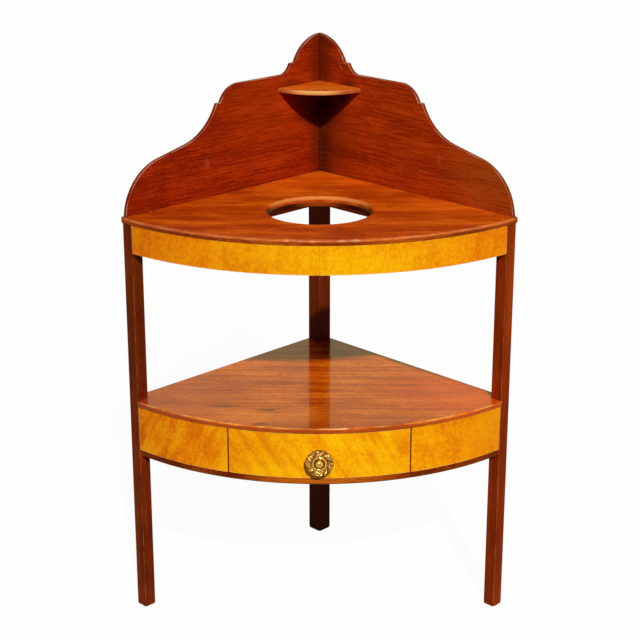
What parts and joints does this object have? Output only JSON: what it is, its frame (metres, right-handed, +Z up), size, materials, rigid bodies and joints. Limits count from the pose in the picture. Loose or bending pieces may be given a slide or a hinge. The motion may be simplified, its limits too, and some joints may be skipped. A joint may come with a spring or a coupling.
{
  "type": "corner washstand",
  "caption": "Quadrant corner washstand on square legs: top with a basin hole, shaped backsplash with a corner shelf, bowed veneered apron, lower shelf and a small sliding drawer.",
  "frame": {"origin": "on the floor, at the middle of the bounding box", "axes": "+Z up, -Y towards the bowed front and the drawer's way out, +X to the right as seen from the front"},
  "size_m": [0.6406, 0.474, 0.948],
  "materials": {
    "mahogany": "polished mahogany, glossy",
    "satinwood": "polished satinwood veneer",
    "pine": "plain planed softwood",
    "oak": "plain planed oak",
    "brass": "cast, aged",
    "iron": "dull iron"
  },
  "bodies": {
    "stand": {"leg_front_left": "mahogany", "leg_front_right": "mahogany", "leg_back": "mahogany", "top_board": "mahogany", "basin_hoop": "mahogany", "splash_left": "mahogany", "splash_right": "mahogany", "corner_shelf": "mahogany", "shelf_board": "mahogany", "bottom_board": "mahogany", "apron_veneer_left": "satinwood", "apron_veneer_right": "satinwood", "panel_veneer_left": "satinwood", "panel_veneer_right": "satinwood", "top_rail_left": "pine", "top_rail_right": "pine", "apron_core": "pine", "case_side_left": "pine", "case_side_right": "pine", "front_panel_left": "pine", "front_panel_right": "pine", "drawer_guide_left": "pine", "drawer_guide_right": "pine", "drawer_stops": "pine", "top_blocks": "pine", "case_blocks": "pine", "top_screws": "iron", "splash_screws": "iron"},
    "drawer": {"drawer_front": "pine", "drawer_veneer": "satinwood", "drawer_side_left": "oak", "drawer_side_right": "oak", "drawer_back": "oak", "drawer_bottom": "oak", "drawer_knob": "brass", "knob_shank": "brass", "knob_nut": "brass", "drawer_nails": "iron"}
  },
  "joints": [
    {"name": "drawer_slide", "type": "slide", "parent": "stand", "child": "drawer", "axis": [0, -1, 0], "range_m": [0, 0.18]}
  ]
}
